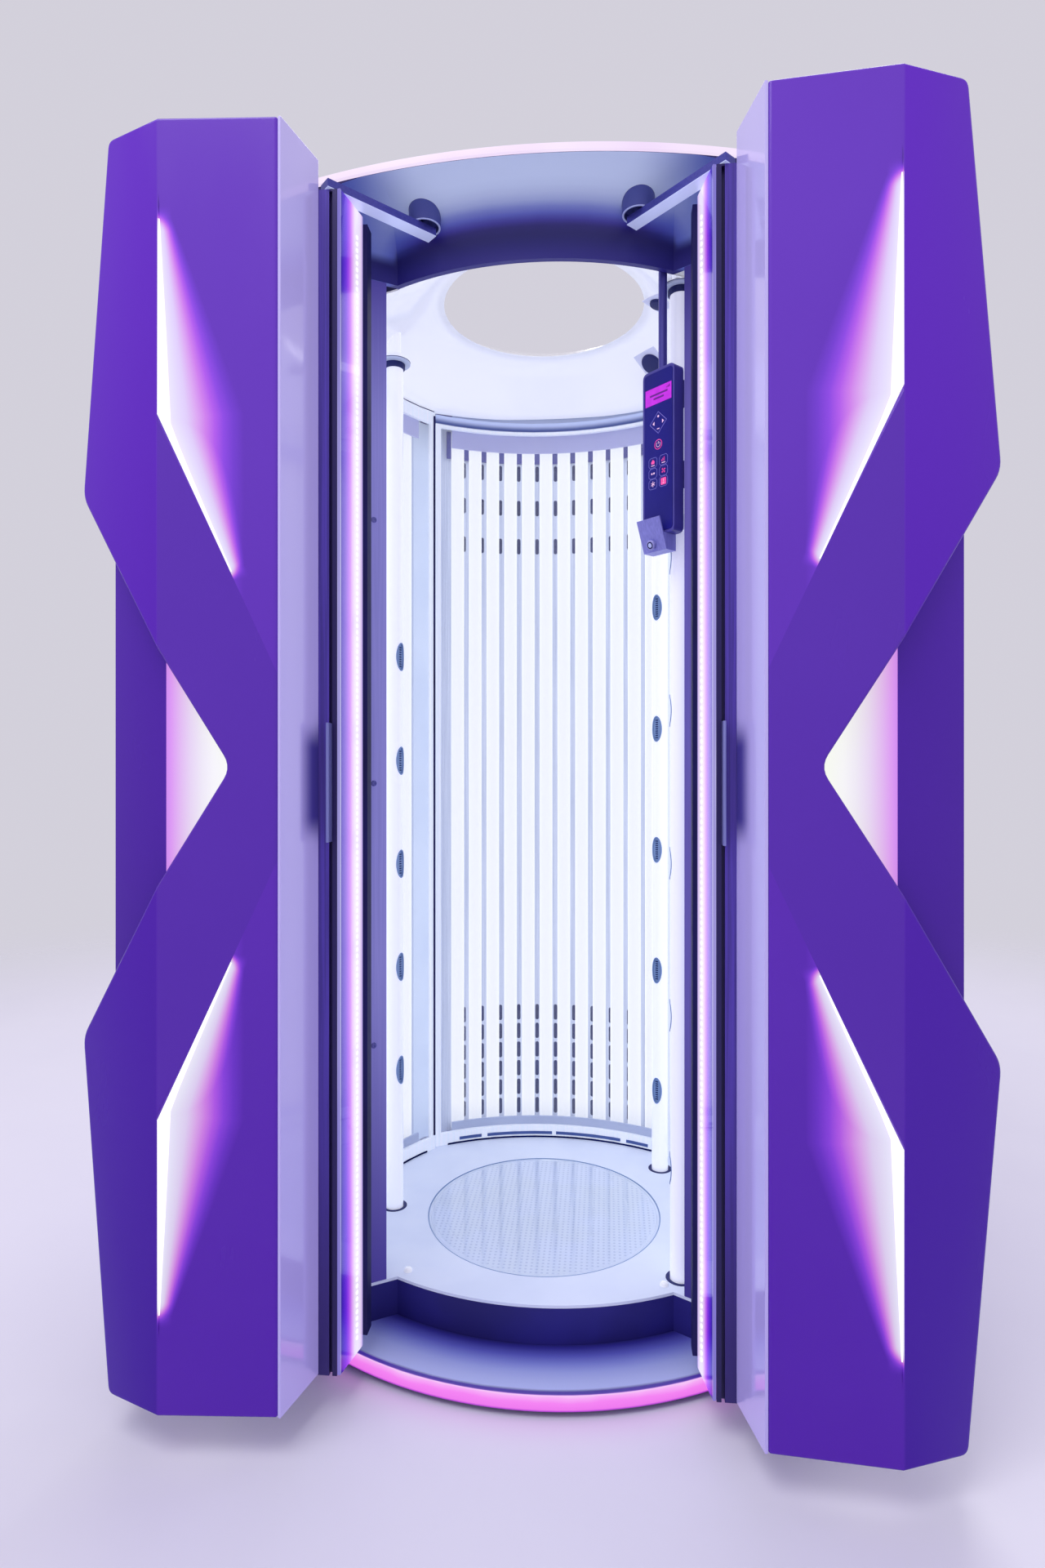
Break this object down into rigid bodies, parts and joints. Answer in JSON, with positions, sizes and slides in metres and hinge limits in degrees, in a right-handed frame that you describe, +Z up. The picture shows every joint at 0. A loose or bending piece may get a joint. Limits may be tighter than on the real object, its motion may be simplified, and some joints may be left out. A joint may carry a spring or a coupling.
{
  "type": "vertical tanning booth",
  "caption": "Standing lamp cabin with curved lamp walls behind clear panes, lit floor disc, air columns, hanging control unit, canopy and two parallel-swing doors, shown open.",
  "frame": {"origin": "on the floor, below the middle of the floor disc, midway between the open doors' front and the cabin's back", "axes": "+Z up, -Y out of the doorway towards the user who walks in, +X to the right as seen from the front"},
  "size_m": [1.6126, 1.35, 2.4286],
  "materials": {
    "white_gloss": "high gloss white, seen violet",
    "white_satin": "satin white",
    "grey_satin": "satin blue grey",
    "slate": "satin slate violet",
    "dark_metal": "dark anodised",
    "aluminium": "satin",
    "reflector": "bright rolled",
    "lamp": "glowing white tube",
    "acrylic": "clear acrylic",
    "light_strip": "glowing diffuser",
    "rubber": "matt black",
    "dark_plastic": "dark satin",
    "screen": "lit display",
    "stop_red": "gloss",
    "steel": "plain"
  },
  "bodies": {
    "cabin": {"plinth_base": "slate", "plinth_light_strip": "light_strip", "step_tread": "grey_satin", "platform_riser": "slate", "deck_plate": "white_satin", "floor_disc": "acrylic", "back_pane_frame": "aluminium", "back_pane": "acrylic", "back_lamp_bank": "lamp", "back_reflector": "reflector", "left_pane_frame": "aluminium", "left_pane": "acrylic", "left_lamp_bank": "lamp", "left_reflector": "reflector", "right_pane_frame": "aluminium", "right_pane": "acrylic", "right_lamp_bank": "lamp", "right_reflector": "reflector", "left_jamb": "dark_metal", "right_jamb": "dark_metal", "left_shell": "white_gloss", "right_shell": "white_gloss", "back_shell": "white_gloss", "air_column_left": "white_gloss", "air_column_right_rear": "white_gloss", "air_column_right_front": "white_gloss", "canopy": "grey_satin", "canopy_light_strip": "light_strip", "ceiling_ring": "white_gloss", "roof_cover": "white_satin", "fan_housing": "dark_plastic", "ballast_rack": "steel", "mains_gland": "rubber", "control_rod": "dark_metal", "control_housing": "dark_metal", "control_panel": "dark_plastic", "control_screen": "screen", "stop_bracket": "dark_metal", "left_pivot_boss": "dark_metal", "right_pivot_boss": "dark_metal"},
    "left_arm": {"left_swing_arm": "dark_metal", "left_guide_belt": "rubber"},
    "right_arm": {"right_swing_arm": "dark_metal", "right_guide_belt": "rubber"},
    "left_door": {"left_door_cover": "white_gloss", "left_door_body": "white_gloss", "left_return_panel": "white_gloss", "left_door_column": "dark_metal", "left_door_fin": "acrylic", "left_door_seal": "rubber", "left_door_handle": "aluminium"},
    "right_door": {"right_door_cover": "white_gloss", "right_door_body": "white_gloss", "right_return_panel": "white_gloss", "right_door_column": "dark_metal", "right_door_fin": "acrylic", "right_door_seal": "rubber", "right_door_handle": "aluminium"},
    "fan": {"fan_rotor": "dark_plastic"},
    "stop": {"stop_button": "stop_red"}
  },
  "joints": [
    {"name": "left_arm_swing", "type": "hinge", "parent": "cabin", "child": "left_arm", "pos_m": [-0.215, -0.384, 2.292], "axis": [0, 0, 1], "range_deg": [0, 100.5]},
    {"name": "left_door_turn", "type": "hinge", "parent": "left_arm", "child": "left_door", "pos_m": [-0.36, -0.528, 2.292], "axis": [0, 0, -1], "range_deg": [0, 100.5]},
    {"name": "right_arm_swing", "type": "hinge", "parent": "cabin", "child": "right_arm", "pos_m": [0.215, -0.384, 2.292], "axis": [0, 0, -1], "range_deg": [0, 100.5]},
    {"name": "right_door_turn", "type": "hinge", "parent": "right_arm", "child": "right_door", "pos_m": [0.36, -0.528, 2.292], "axis": [0, 0, 1], "range_deg": [0, 100.5]},
    {"name": "fan_spin", "type": "hinge", "parent": "cabin", "child": "fan", "pos_m": [0, 0.586, 2.311], "axis": [0, 0, 1], "continuous": true},
    {"name": "stop_press", "type": "slide", "parent": "cabin", "child": "stop", "axis": [0.6645, 0.6645, 0.342], "range_m": [0, 0.004], "stiffness_N_per_m": 800}
  ],
  "couplings": [
    {"joint": "left_door_turn", "follows": "left_arm_swing", "ratio": 1},
    {"joint": "right_door_turn", "follows": "right_arm_swing", "ratio": 1}
  ]
}
